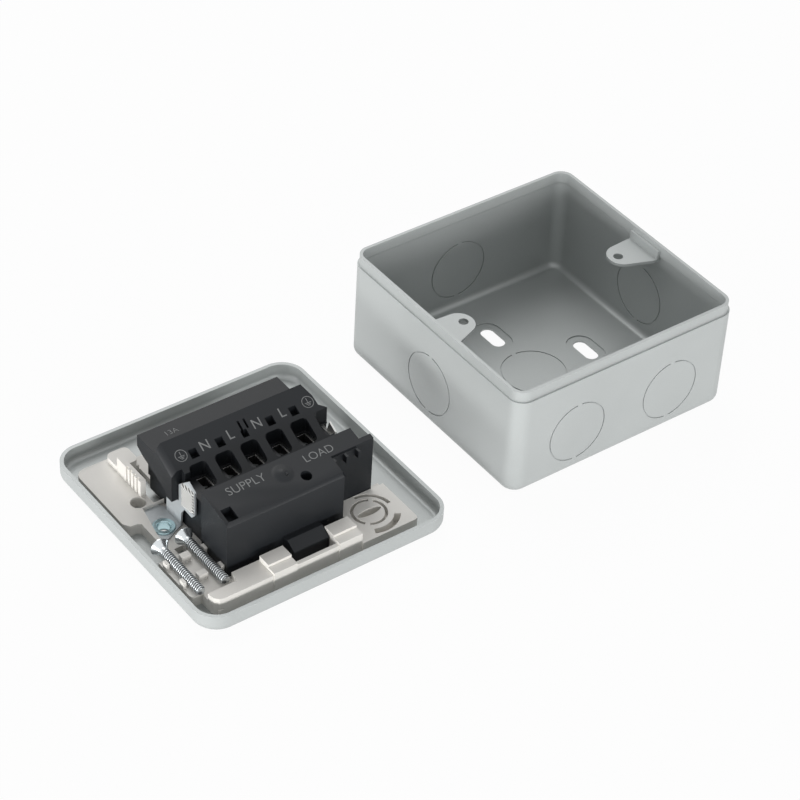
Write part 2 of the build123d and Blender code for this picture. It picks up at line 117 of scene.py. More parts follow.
class Graph:
    """A node tree, and the one method that adds a node to it."""

    def __init__(self, tree):
        self.tree = tree

    def node(self, kind, settings, sockets, output=0):
        """Any node: its settings first, a ramp's stops among them, then values or wires for its sockets."""
        made = self.tree.nodes.new(kind)
        for key, value in settings.items():
            if key == "stops":
                ramp = made.color_ramp
                while len(ramp.elements) < len(value):
                    ramp.elements.new(0.5)
                for stop, (position, colour) in zip(ramp.elements, value):
                    stop.position = position
                    stop.color = colour
            else:
                setattr(made, key, value)
        for key, value in sockets.items():
            if isinstance(value, Wire):
                self.tree.links.new(value.socket, made.inputs[key])
            else:
                made.inputs[key].default_value = value
        return Wire(self, made.outputs[output]) if made.outputs else None

    def seen_directly(self):
        """1 for the rays by which the camera, a reflection or clear glass sees the stage, else 0."""
        camera = self.node("ShaderNodeLightPath", {}, {}, "Is Camera Ray")
        glossy = self.node("ShaderNodeLightPath", {}, {}, "Is Glossy Ray")
        clear = self.node("ShaderNodeLightPath", {}, {}, "Is Transmission Ray")
        return camera + glossy + clear


class Finish(Graph):
    """One material: a Principled shader and the nodes that feed it."""

    def __init__(self, name, **values):
        self.material = bpy.data.materials.new(name)
        self.material.use_nodes = True
        super().__init__(self.material.node_tree)
        self.shader = next(node for node in self.tree.nodes if node.type == "BSDF_PRINCIPLED")
        for socket, value in values.items():
            self.feed(socket.replace("_", " "), value)
        self.place = self.node("ShaderNodeTexCoord", {}, {}, "Object")

    def feed(self, socket, value):
        """Gives a value or a wire to a socket of the Principled shader."""
        if isinstance(value, Wire):
            self.tree.links.new(value.socket, self.shader.inputs[socket])
        else:
            self.shader.inputs[socket].default_value = value

    def noise(self, scale, detail=3.0, roughness=0.55):
        """Noise from 0 to 1 with about as many cells to the metre as its scale."""
        return self.node("ShaderNodeTexNoise", {}, {"Vector": self.place, "Scale": scale, "Detail": detail,
                                                    "Roughness": roughness}, "Fac")

    def along(self, axis):
        """The distance along one axis of the object, in metres."""
        return self.node("ShaderNodeSeparateXYZ", {}, {"Vector": self.place}, axis)

    def blend(self, factor, first, second):
        """A colour mixed from two by a wire."""
        return self.node("ShaderNodeMix", {"data_type": "RGBA", "blend_type": "MIX"},
                         {0: factor, 6: first, 7: second}, 2)

    def ramp(self, value, *stops):
        """A value turned through a ramp of grey stops."""
        greys = [(position, (level, level, level, 1.0)) for position, level in stops]
        return self.node("ShaderNodeValToRGB", {"stops": greys}, {"Fac": value}, "Color")

    def bump(self, height, strength, distance):
        """Bump from a height wire, in metres."""
        self.feed("Normal", self.node("ShaderNodeBump", {}, {"Height": height, "Strength": strength,
                                                             "Distance": distance}, "Normal"))


def shade(colour, factor):
    """A colour with its brightness multiplied."""
    return tuple(min(1.0, part * factor) for part in colour[:3]) + (1.0,)


def grey_paint(looks):
    """Silver grey powder coat: a fine sparkle, slow drifts of tone and a light orange peel."""
    finish = Finish("grey_paint")
    colour = looks.paint
    drift = finish.noise(38.0, 2.0)
    grain = finish.noise(5200.0, 2.0, 0.7)
    mixed = finish.ramp(drift * 0.35 + grain * 0.65, (0.32, 0.0), (0.68, 1.0))
    finish.feed("Base Color", finish.blend(mixed, shade(colour, 0.93), shade(colour, 1.07)))
    finish.feed("Roughness", 0.4 + grain * 0.16)
    finish.feed("Metallic", 0.3 + grain * 0.2)
    finish.bump(finish.noise(1500.0, 2.0) * 0.6 + grain * 0.4, 0.35, 0.00005)
    return finish.material


def black_moulding(looks):
    """Satin black moulding with a fine spark grain and faint flow marks."""
    finish = Finish("black_moulding", **{"Specular_IOR_Level": 0.3})
    colour = looks.black
    flow = finish.noise(70.0, 3.0)
    grain = finish.noise(4200.0, 2.0, 0.6)
    finish.feed("Base Color", finish.blend(flow, shade(colour, 0.8), shade(colour, 1.25)))
    finish.feed("Roughness", 0.33 + grain * 0.2 + flow * 0.08)
    finish.bump(grain, 0.25, 0.00004)
    return finish.material


def cream_moulding(looks):
    """Cream moulding: warm, slightly uneven, with a soft satin skin."""
    finish = Finish("cream_moulding")
    colour = looks.cream
    flow = finish.noise(55.0, 3.0)
    grain = finish.noise(3600.0, 2.0)
    finish.feed("Base Color", finish.blend(flow, shade(colour, 0.96), shade(colour, 1.04)))
    finish.feed("Roughness", 0.42 + grain * 0.14)
    finish.bump(grain * 0.7 + flow * 0.3, 0.18, 0.00004)
    return finish.material


def bright_metal(name, colour, rough, metallic=0.9):
    """Plated metal: clean, with fine drawing marks and a cloudy change of polish."""
    finish = Finish(name)
    cloud = finish.noise(420.0, 4.0)
    marks = finish.noise(6500.0, 2.0, 0.7)
    finish.feed("Base Color", finish.blend(cloud, shade(colour, 0.86), shade(colour, 1.06)))
    finish.feed("Metallic", metallic + marks * 0.08)
    finish.feed("Roughness", rough + cloud * 0.14)
    finish.bump(marks, 0.2, 0.00003)
    return finish.material


def grooved_metal(name, colour, rough, count):
    """Plated metal with painted shade down in its grooves, which lie where the count of turns is whole."""
    finish = Finish(name)
    cloud = finish.noise(900.0, 4.0)
    turn = finish.node("ShaderNodeMath", {"operation": "FRACT"}, {0: count(finish)})
    painted_groove_shade = finish.ramp(turn, (0.0, 0.9), (0.2, 0.0), (0.56, 0.0), (0.76, 1.0))
    # Painted shade: in the grooves the colour drops to about a sixth.
    finish.feed("Base Color", finish.blend(painted_groove_shade, shade(colour, 1.05), shade(colour, 0.16)))
    finish.feed("Metallic", 0.92 - painted_groove_shade * 0.3)
    finish.feed("Roughness", rough + painted_groove_shade * 0.3 + cloud * 0.1)
    return finish.material


def terminal_metal(looks):
    """Tinned brass that is dull and has painted shade inside the terminal's well, and is bright on its rim,
    by height.
    """
    finish = Finish("terminal_tin_shaded_well")
    cloud = finish.noise(900.0, 3.0)
    below_rim = 17.42 * MM
    sharpness = 6000.0
    rim = finish.ramp((finish.along("Z") - below_rim) * sharpness + cloud * 0.2, (0.25, 0.0), (0.75, 1.0))
    # Painted shade: below the rim the tin's colour drops to a tenth.
    finish.feed("Base Color", finish.blend(rim, shade(looks.tin, 0.1), shade(looks.tin, 1.0)))
    finish.feed("Metallic", 0.75 + cloud * 0.2)
    finish.feed("Roughness", 0.55 - rim * 0.25)
    return finish.material


def ceramic(looks):
    """Glazed fuse tube with a faint unevenness."""
    finish = Finish("fuse_ceramic")
    cloud = finish.noise(600.0, 3.0)
    finish.feed("Base Color", finish.blend(cloud, shade(looks.cream, 1.1), shade(looks.cream, 1.3)))
    finish.feed("Roughness", 0.2 + cloud * 0.15)
    return finish.material


def mark_paint(looks):
    """Pale grey print on the black moulding, thin enough to be a little uneven."""
    finish = Finish("mark_paint")
    cloud = finish.noise(2500.0, 3.0)
    finish.feed("Base Color", finish.blend(cloud, shade(looks.mark, 0.75), shade(looks.mark, 1.05)))
    finish.feed("Roughness", 0.5 + cloud * 0.2)
    return finish.material


def add_piece(name, mesh, material, body=UNIT):
    """Puts a mesh of one material into the scene, as a piece that rides on a body."""
    mesh.materials.clear()
    mesh.materials.append(material)
    piece = bpy.data.objects.new(name, mesh)
    bpy.context.scene.collection.objects.link(piece)
    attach(piece, body)
    return piece


def put_mesh(name, points, faces, material, smooth):
    """Puts an array of points and a list of faces into a new piece on the unit."""
    mesh = bpy.data.meshes.new(name)
    mesh.from_pydata(points.tolist(), [], [tuple(face) for face in faces])
    mesh.validate()
    mesh.polygons.foreach_set("use_smooth", np.full(len(mesh.polygons), smooth))
    return add_piece(name, mesh, material)


def evaluated_mesh(maker):
    """The mesh of an object as its modifiers or its text make it, and its points as rows of an array."""
    bpy.context.view_layer.update()
    mesh = bpy.data.meshes.new_from_object(maker.evaluated_get(bpy.context.evaluated_depsgraph_get()))
    flat = np.empty(len(mesh.vertices) * 3)
    mesh.vertices.foreach_get("co", flat)
    return mesh, flat.reshape(-1, 3)


def grid_faces(rows, columns, wrap):
    """Quads of a grid of rows by columns, the columns joined round when wrap is true."""
    row, column = np.meshgrid(np.arange(rows - 1), np.arange(columns if wrap else columns - 1), indexing="ij")
    after = (column + 1) % columns
    return np.stack([row * columns + column, row * columns + after, (row + 1) * columns + after,
                     (row + 1) * columns + column], axis=-1).reshape(-1, 4)


def dress(nodes, material):
    """Gives CAD nodes their finish."""
    for name in nodes:
        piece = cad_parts[name]
        piece.data.materials.clear()
        piece.data.materials.append(material)


def slab(left, right, near, far):
    """The outline in plan of a rectangle between two pairs of edges, in millimetres."""
    return [(left, near), (right, near), (right, far), (left, far)]


def rounded(left, right, near, far, radius):
    """A rectangle's outline: each corner is a centre plus radius times (cos a, sin a) over a quarter turn."""
    corners = []
    for u, v, turn in ((right - radius, far - radius, 0), (left + radius, far - radius, 90),
                       (left + radius, near + radius, 180), (right - radius, near + radius, 270)):
        angle = np.radians(np.arange(0, 91, 15) + turn)
        corners.append(np.stack([u + radius * np.cos(angle), v + radius * np.sin(angle)], axis=-1))
    return np.concatenate(corners)


def oval(u, v, wide, high):
    """An ellipse's outline: centre plus (wide cos a, high sin a)."""
    sides = 48
    angle = np.arange(sides) * 2 * math.pi / sides
    return np.stack([u + wide * np.cos(angle), v + high * np.sin(angle)], axis=-1)


def band(u, v, radius, width, start, sweep):
    """An arc with a width: the outer radius over the sweep of angles, then the inner radius back again."""
    angle = np.radians(start + sweep * np.linspace(0.0, 1.0, 33))
    ring = np.stack([np.cos(angle), np.sin(angle)], axis=-1)
    return np.concatenate([ring * (radius + width / 2), ring[::-1] * (radius - width / 2)]) + (u, v)


def prism(outline, low, high, along="z"):
    """A straight solid: an outline in u and v carried along z, or one in v and z carried along u."""
    flat = np.array(outline, dtype=float)
    after = np.roll(flat, -1, axis=0)
    if np.sum(flat[:, 0] * after[:, 1] - after[:, 0] * flat[:, 1]) < 0:
        flat = flat[::-1]
    ends = [np.insert(flat, 2 if along == "z" else 0, level, axis=1) for level in (low, high)]
    return np.concatenate(ends)


def raw_solids(name, solids):
    """One object of straight solids: each is its first outline, its last one and the quads between them."""
    faces = []
    total = 0
    for points in solids:
        count = len(points) // 2
        ring = np.arange(count)
        after = (ring + 1) % count
        faces.append(tuple(total + ring[::-1]))
        faces.append(tuple(total + count + ring))
        sides = total + np.stack([ring, after, after + count, ring + count], axis=-1)
        faces += [tuple(side) for side in sides]
        total += len(points)
    mesh = bpy.data.meshes.new(name)
    mesh.from_pydata(np.concatenate(solids).tolist(), [], faces)
    piece = bpy.data.objects.new(name, mesh)
    bpy.context.scene.collection.objects.link(piece)
    return piece


def carve(name, node, solids, cuts, material, edge, body=UNIT):
    """A moulded or machined piece: straight solids joined, others cut away and the edges broken.

    The solids are in millimetres from the plate's middle. The piece stands for a CAD node.
    """
    whole = raw_solids(name + "_raw", solids)
    cutter = raw_solids(name + "_cuts", cuts)
    cut = whole.modifiers.new("cut", "BOOLEAN")
    cut.operation = "DIFFERENCE"
    cut.solver = "EXACT"
    cut.use_self = True
    cut.object = cutter
    broken = whole.modifiers.new("edges", "BEVEL")
    broken.width = edge
    broken.segments = 1
    broken.limit_method = "ANGLE"
    broken.angle_limit = math.radians(32)
    mesh, points = evaluated_mesh(whole)
    for helper in (whole, cutter):
        bpy.data.objects.remove(helper)
    if len(mesh.polygons) < len(solids):
        raise RuntimeError(f"{name} was lost in cutting")
    placed = points * MM + (PLATE_X, 0.0, 0.0)
    mesh.vertices.foreach_set("co", placed.reshape(-1))
    mesh.polygons.foreach_set("use_smooth", np.full(len(mesh.polygons), True))
    mesh.set_sharp_from_angle(angle=math.radians(28))
    mesh.name = name
    piece = add_piece(name, mesh, material, body)
    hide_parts(node)
    return piece


def top_z(top, v):
    """Height of a sloping top at v."""
    slope, height = top
    return height + slope * (v - RIDGE)


def carve_cover(material):
    """The terminal cover: stepped strip, ridge, label face, six shrouded windows and the wire ways behind."""
    far, strip_z, ridge_z = 18.1, STRIP_TOP[1], LABEL_TOP[1]
    profile = [(VALLEY, BASE_TOP), (far, BASE_TOP), (far, strip_z), (RIDGE, strip_z), (RIDGE, ridge_z),
               (VALLEY, top_z(LABEL_TOP, VALLEY))]
    solids = [prism(profile, -27.6, 26.4, "u")]
    right = [(21.1, 19), (21.1, 8.2), (22.6, 8.2), (24.1, 4.2), (24.3, 1.3), (26.4, -0.3), (25.6, -2.4),
             (25.0, -4.0), (25.0, -15), (30, -15), (30, 19)]
    hollow = [(-15, 7), (-15, ABOVE), (-0.35, ABOVE), (-0.35, 12.5), (2.4, 12.5), (3.5, 14.7), (15.1, 18.8),
              (19.0, 21.0), (19.0, 7)]
    ends = [(v, top_z(LABEL_TOP, v)) for v in (8.25, -15)]
    left_edge = np.concatenate([[(-28.6, v, z - 2.7), (-24.9, v, z + 1), (-28.6, v, z + 1)] for v, z in ends])
    cuts = [prism(right, 0, ABOVE), prism(hollow, -29, -24.0, "u"), left_edge]
    channel = [(-0.35, 7), (19.0, 7), (19.0, 17.0), (6.0, 19.0), (-0.35, 15.0)]
    for place in WAY_PLACES:
        cuts.append(prism(rounded(place - 3, place + 3, -7.5, -0.35, 1.5), SHROUD_TOP, ABOVE))
        cuts.append(prism(slab(place - 3, place + 3, -9.15, -0.35), 7, TERMINAL_TOP + 0.1))
        cuts.append(prism(channel, place - 2.5, place + 2.5, "u"))
        cuts.append(prism(slab(place - 0.7, place + 2.9, -6.3, -1.0), 17, ABOVE))
    cuts.append(prism(slab(-29, WAY_PLACES[0], -15, -1.85), SHROUD_TOP, ABOVE))
    cuts.append(prism(slab(WAY_PLACES[-1], 31, -15, -2.35), SHROUD_TOP, ABOVE))
    cuts.append(prism(slab(24.0, 31, -9.15, -2.8), 17, ABOVE))
    pocket = top_z(LABEL_TOP, 2.3) - 2.5
    for u in (-18.3, -9.3, 8.1, 16.3):
        cuts.append(prism(slab(u - 1.3, u + 1.3, 1.0, 3.6), pocket, ABOVE))
    for sides in ((-2.1, 0.0, 0.8, 3.0), (-1.6, -0.9, 2.9, 5.7), (0.4, 1.1, 2.9, 5.7)):
        cuts.append(prism(slab(*sides), pocket, ABOVE))
    return carve("terminal_cover", "module_cover", solids, cuts, material, 0.28)


def carve_fuse_block(material):
    """The fuse block: sloping top, broken near edge, snap tongue, snap posts and the carrier's chamber."""
    near_z, under = top_z(FUSE_TOP, FUSE_NEAR), 2
    profile = [(FUSE_NEAR, WEB_TOP), (VALLEY, WEB_TOP), (VALLEY, top_z(FUSE_TOP, VALLEY)),
               (FUSE_NEAR, near_z)]
    tongue = [(-27.0, WEB_TOP), (-27.0, 9.4), (-29.1, 9.4), (-32.6, 7.4), (-32.6, WEB_TOP)]
    post = top_z(FUSE_TOP, -20.0) - 3.2
    solids = [prism(profile, -26.3, 29.0, "u"), prism(tongue, -7.0, 5.2, "u"),
              prism(slab(13.9, 22.9, -22.2, -19.9), post, post + 2.6)]
    edge = [(-28.1, near_z - 2.2), (-25.1, near_z + 1.5), (-28.1, near_z + 1.5)]
    step = [(13.9, -28), (30, -28), (30, -20), (22.9, -20), (22.9, -22.2), (13.9, -22.2)]
    cuts = [prism(edge, -27.0, 13.89, "u"),
            prism(slab(24.9, 30, -18.3, -12), under, ABOVE),
            prism(step, under, ABOVE),
            prism(slab(13.9, 22.9, -22.3, -20.0), under, post),
            prism(slab(13.9, 22.9, -22.3, -20.0), post + 2.6, ABOVE),
            prism(slab(14.6, 18.0, -22.3, -20.5), post - 0.5, post + 3),
            prism(slab(18.8, 22.2, -22.3, -20.5), post - 0.5, post + 3),
            prism(slab(*CHAMBER), under, 15.03),
            prism(slab(-25.1, -21.7, -26.15, -21.65), top_z(FUSE_TOP, -23.9) - 3.0, ABOVE),
            prism(oval(3.7, -22.5, 1.7, 1.7), top_z(FUSE_TOP, -22.5) - 3.0, ABOVE)]
    return carve("fuse_housing", "fuse_block", solids, cuts, material, 0.4)


def carve_moulding(material):
    """The cream backing: web, pads, near ledge, latch blocks, ribbed wall, screw tray, dial and holes."""
    near, far, left, pad_left = -37.3, 33.2, -40.1, -36.6
    pad = [(left, 6.4), (left, far - 3), (left + 0.4, far - 1.5), (left + 1.5, far - 0.4), (left + 3, far),
           (-22.3, far), (-22.3, 18.4), (-24.2, 18.4), (-24.2, 9.1), (-31.65, 9.1), (-34.15, -3.4),
           (-34.3, -7.0), (-35.5, -7.0), (-35.5, 3.4), (-36.5, 4.2), (-38.7, 4.4)]
    tray = [(left, -13.0), (-26.4, -13.0), (-26.4, -33.2), (pad_left, -33.2), (pad_left, -30.2),
            (left + 1.2, -30.2), (left + 0.35, -29.85), (left, -29.0)]
    ledge = [(pad_left, -33.2), (pad_left, near + 3), (pad_left + 0.4, near + 1.5),
             (pad_left + 1.5, near + 0.4), (pad_left + 3, near), (-17.0, near), (-17.0, -29.6),
             (-26.4, -29.6), (-27.0, -33.2)]
    corner = [(15.0, -38.2), (32.0, -38.2), (32.85, -37.85), (33.2, -37.0), (33.2, -20.2), (15.0, -20.2)]
    base, top, ledge_top, above = PLATE_TOP, PAD_TOP, 7.4, 20
    solids = [prism(slab(-35.5, 30.0, near, 31.0), base, WEB_TOP),
              prism(slab(13.3, 33.2, -37.0, -17.7), base, WEB_TOP),
              prism(pad, base, top), prism(tray, base, top), prism(ledge, base, ledge_top),
              prism(corner, base, top), prism(slab(13.4, 16.0, -38.2, -27.9), base, top),
              prism(slab(-17.1, 13.0, near, near + 1.3), base, ledge_top)]
    for start, end in ((-17.1, -9.2), (5.4, 13.4)):
        solids.append(prism(slab(start, end, -37.6, -29.9), base, 8.3))
        solids.append(prism(slab(start, end, -34.45, -29.9), base, 9.2))
    solids.append(prism(rounded(-29.5, -22.3, 26.0, far, 1.8), base, 7.0))
    solids.append(prism(slab(-29.5, -27.7, 13.5, 26.5), base, 10.8))
    for place, width in ((-39.55, 1.0), (-33.3, 3.0), (-26.9, 1.0)):
        for v in (-16.2, -25.0):
            nub = slab(place - width / 2, place + width / 2, v - 1, v + 1)
            solids.append(prism(nub, base, top + 2.4))
    cuts = [prism(oval(-30.15, 0, 2.65, 2.65), 0, above),
            prism(oval(30.15, 0, 2.65, 2.65), 0, above),
            prism(oval(-31.4, 11.85, 2.4, 2.4), 0.5, above),
            prism(slab(-32.3, -29.3, -11.9, -8.9), 0.5, above),
            prism(slab(*CHAMBER), 0, above)]
    for rib in range(4):
        v = 13.5 + 1.9 * (rib + 1)
        cuts.append(prism(slab(-30.5, -28.8, v - 0.4, v + 0.4), top, above))
    dial, dial_top = (22.5, -28.2), 9
    cuts += [prism(band(*dial, 5.1, 0.95, 58, 164), 2.6, dial_top),
             prism(band(*dial, 5.1, 0.95, 238, 164), 2.6, dial_top),
             prism(oval(*dial, 4.1, 1.3), 2.0, dial_top),
             prism(band(*dial, 8.3, 2.0, -114, 78), 1.6, dial_top),
             prism(band(*dial, 7.2, 1.2, 0, 92), 1.6, dial_top),
             prism(slab(-27.65, -22.0, 9.4, 25.9), 0.5, above)]
    return carve("cream_backing", "backing_moulding", solids, cuts, material, 0.22)


def carve_terminal(way, place, tin):
    """A clamp terminal: a block with a driver's well, screw bore and wire bore; the end one has a leaf."""
    if way == "earth_out":
        leaf = [(-7.4, 16), (-7.4, top_z(LABEL_TOP, -7.4)), (-4.2, top_z(LABEL_TOP, -4.2)),
                (-3.2, TERMINAL_TOP), (-3.2, 16)]
        solids = [prism(slab(21.5, 25.0, -9.05, -0.45), BASE_TOP, TERMINAL_TOP),
                  prism(leaf, 24.5, 25.05, "u")]
        cuts = [prism(oval(place, CLAMP_LINE, 0.68, 0.68), 7, 16.8)]
        middle, bore = 23.25, 1.3
    else:
        solids = [prism(slab(place - 2.8, place + 2.8, -9.05, -0.45), BASE_TOP, TERMINAL_TOP)]
        cuts = [prism(slab(place - 1.75, place + 2.3, -6.4, -1.15), 12.6, 20),
                prism(oval(place, CLAMP_LINE, 1.56, 1.56), 11.4, 20)]
        middle, bore = place, 1.5
    # The wire bore is made along u and its axes are rolled round, so that it runs along v.
    cuts.append(np.roll(prism(oval(10.5, middle, bore, bore), -12, 2, "u"), 1, axis=1))
    return carve("clamp_block_" + way, "terminal_" + way, solids, cuts, tin, 0.1)


def moulded_blister(material):
    """A shallow dome on the fuse block: h (1 - (r / R)^2)^2, less a dimple that fades as exp(-d^2 / f)."""
    rows, columns = 40, 64
    reach, rise, dimple, fade, lift = 3.4, 1.1, 0.7, 0.16, 0.02
    radius, angle = np.meshgrid(np.linspace(0.001, reach, rows), np.arange(columns) * 2 * math.pi / columns,
                                indexing="ij")
    across = radius * np.cos(angle)
    up = radius * np.sin(angle)
    height = rise * (1.0 - (radius / reach) ** 2) ** 2
    height = height - dimple * np.exp(-(((across - 0.5) ** 2 + (up + 1.2) ** 2) / fade)) + lift
    points = face_point(FUSE_TOP, -1.9, -18.8, across, up, height)
    points = np.concatenate([points.reshape(-1, 3), points[:1, :].mean(axis=1)])
    ring = np.arange(columns)
    middle = np.stack([np.full(columns, rows * columns), ring, (ring + 1) % columns], axis=-1)
    faces = [*grid_faces(rows, columns, True), *middle]
    return put_mesh("block_blister", points, faces, material, True)


def threaded_screw(name, looks):
    """A countersunk screw: radius at angle a and length t is the root plus a ridge that repeats each pitch.

    The ridge is a triangle wave of t / pitch - a / 2 pi, flattened at its top, which fades in below the
    head and out at the tip. Points are the axis place plus radius times (cos a, sin a) across the axis.
    """
    low, high = (Vector(corner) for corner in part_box(name))
    centre_x = (low.x + high.x) / 2
    centre_z = (low.z + high.z) / 2
    head_share = 0.9
    head_r = (high.z - low.z) / 2 * head_share
    length = high.y - low.y
    shank_r = looks.thread_radius
    head_height = 1.9 * MM
    plain = 0.8 * MM
    tip_length = 0.5 * MM
    rows = int(length / looks.thread_pitch * 10)
    columns = 40
    turns_per_radian = 1.0 / (2.0 * math.pi)

    def count(finish):
        """Turns of the thread at a place, held halfway between two grooves where there is no thread."""
        turned = finish.node("ShaderNodeMath", {"operation": "ARCTAN2"},
                             {0: finish.along("Z") - centre_z, 1: finish.along("X") - centre_x})
        reach = high.y - finish.along("Y")
        fade_in = finish.ramp((reach - head_height - plain) * 1500.0, (0.0, 0.0), (1.0, 1.0))
        turns = reach * (1.0 / looks.thread_pitch) - turned * turns_per_radian + 8.0
        return turns * fade_in + 0.5 * (1.0 - fade_in)

    # The screw's finish paints shade into the thread's grooves.
    material = grooved_metal(name + "_zinc", shade(looks.zinc, 0.9), 0.18, count)
    along = np.linspace(0.0, 1.0, rows)[:, None] * length
    angle = np.arange(columns)[None, :] * 2 * math.pi / columns
    phase = np.mod(along / looks.thread_pitch - angle / (2 * math.pi), 1.0)
    ridge = np.clip(1.25 * (1.0 - np.abs(2.0 * phase - 1.0)), 0.0, 1.0)
    tip = np.clip((length - along) / tip_length, 0.0, 1.0)
    thread = np.clip((along - head_height - plain) / plain, 0.0, 1.0) * tip
    radius = shank_r - looks.thread_depth * (1.0 - ridge) * thread
    rim = 0.25 * MM
    cone = np.clip(head_r - (along - rim) * (head_r - shank_r) / head_height, shank_r, head_r)
    radius = np.where(along < head_height + 0.2 * MM, cone, radius)
    radius = radius * (0.78 + 0.22 * tip)
    points = np.stack([centre_x + radius * np.cos(angle), high.y - along + 0 * angle,
                       centre_z + radius * np.sin(angle)], axis=-1).reshape(-1, 3)
    caps = np.array([[centre_x, high.y, centre_z], [centre_x, low.y, centre_z]])
    ring = np.arange(columns)
    after = (ring + 1) % columns
    cap = np.full(columns, rows * columns)
    last = (rows - 1) * columns
    front = np.stack([after, ring, cap], axis=-1)
    back = np.stack([last + ring, last + after, cap + 1], axis=-1)
    faces = [*grid_faces(rows, columns, True), *front, *back]
    piece = put_mesh(name + "_turned", np.concatenate([points, caps]), faces, material, True)
    piece.data.set_sharp_from_angle(angle=math.radians(40))
    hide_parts(name)
    return piece


def face_point(top, u, v, across, up, lift):
    """Places on a sloping top, in metres, from millimetres: across runs along X and up goes up the slope."""
    tilt = math.atan(top[0])
    y = v + up * math.cos(tilt) - lift * math.sin(tilt)
    z = top_z(top, v) + up * math.sin(tilt) + lift * math.cos(tilt)
    return np.stack([PLATE_X + (u + across) * MM, y * MM, z * MM], axis=-1)


def letters(name, text, size, u, v, top, material, weight=-0.008):
    """Lettering laid on a sloping top, made as text and turned into a mesh; a negative weight thins it."""
    curve = bpy.data.curves.new(name, "FONT")
    curve.body = text
    curve.size = size * MM
    curve.align_x = "CENTER"
    curve.align_y = "CENTER"
    curve.resolution_u = 6
    curve.offset = weight * size * MM
    maker = bpy.data.objects.new(name, curve)
    bpy.context.scene.collection.objects.link(maker)
    mesh, points = evaluated_mesh(maker)
    bpy.data.objects.remove(maker)
    across, up = points[:, 0] / MM, points[:, 1] / MM
    mesh.vertices.foreach_set("co", face_point(top, u, v, across, up, PRINT_LIFT).reshape(-1))
    return add_piece(name, mesh, material)


def earth_mark(name, size, u, v, top, material):
    """The earth sign: a ring, a stem and three bars that shorten, each a flat strip on the face."""
    columns = 48
    angle = np.arange(columns) * 2 * math.pi / columns
    line = size * 0.05
    radii = np.array([size / 2, size / 2 - line])[:, None]
    ring = np.stack([radii * np.cos(angle), radii * np.sin(angle)], axis=-1).reshape(-1, 2)
    faces = [grid_faces(2, columns, True)[:, ::-1]]
    strips = [ring]
    total = len(ring)
    bars = [(0.14, line / 2, size * 0.2)]
    bars += [(-0.06 - 0.11 * step, size * (0.28 - 0.08 * step), line / 2) for step in range(3)]
    for up, half_width, half_height in bars:
        corner = np.array([[-1, -1], [1, -1], [1, 1], [-1, 1]]) * (half_width, half_height)
        strips.append(corner + (0.0, up * size))
        faces.append(np.arange(4)[None, :] + total)
        total += 4
    flat = np.concatenate(strips)
    points = face_point(top, u, v, flat[:, 0], flat[:, 1], PRINT_LIFT)
    return put_mesh(name, points, np.concatenate(faces), material, False)


def leaf_turns(v, z):
    """How many ridges of the earth leaf lie below a place, so that they run along the label face's slope."""
    return (z - v * LABEL_TOP[0]) * (1.0 / LEAF_PITCH)


def ridged_leaf(looks):
    """Serrated face of the earth leaf: a patch between four corners, pushed out by a triangle wave.

    The wave fades out over the last twelfth of the patch at each of its edges.
    """
    # The leaf's finish paints shade into the grooves between its ridges.
    material = grooved_metal("strap_tin", looks.tin, 0.3, lambda finish: leaf_turns(
        finish.along("Y") * (1.0 / MM), finish.along("Z") * (1.0 / MM)) + 20.0)
    corners = np.array([[-2.4, 20.6], [-8.8, 21.3], [-2.2, 11.5], [-8.8, 12.8]])
    down, across = np.meshgrid(np.linspace(0, 1, 181), np.linspace(0, 1, 61), indexing="ij")
    top = corners[0] + across[..., None] * (corners[1] - corners[0])
    bottom = corners[2] + across[..., None] * (corners[3] - corners[2])
    place = top + down[..., None] * (bottom - top)
    v, z = place[..., 0], place[..., 1]
    wave = 1.0 - np.abs(2.0 * np.mod(leaf_turns(v, z), 1.0) - 1.0)
    rim = np.clip(12 * np.minimum(np.minimum(down, 1 - down), np.minimum(across, 1 - across)), 0.0, 1.0)
    lift, depth = 0.02, 0.6
    u = LEAF_SIDE - lift - wave * rim * depth
    points = np.stack([PLATE_X + u * MM, v * MM, z * MM], axis=-1).reshape(-1, 3)
    faces = grid_faces(*down.shape, False)
    return put_mesh("earth_leaf_ridges", points, faces, material, False)


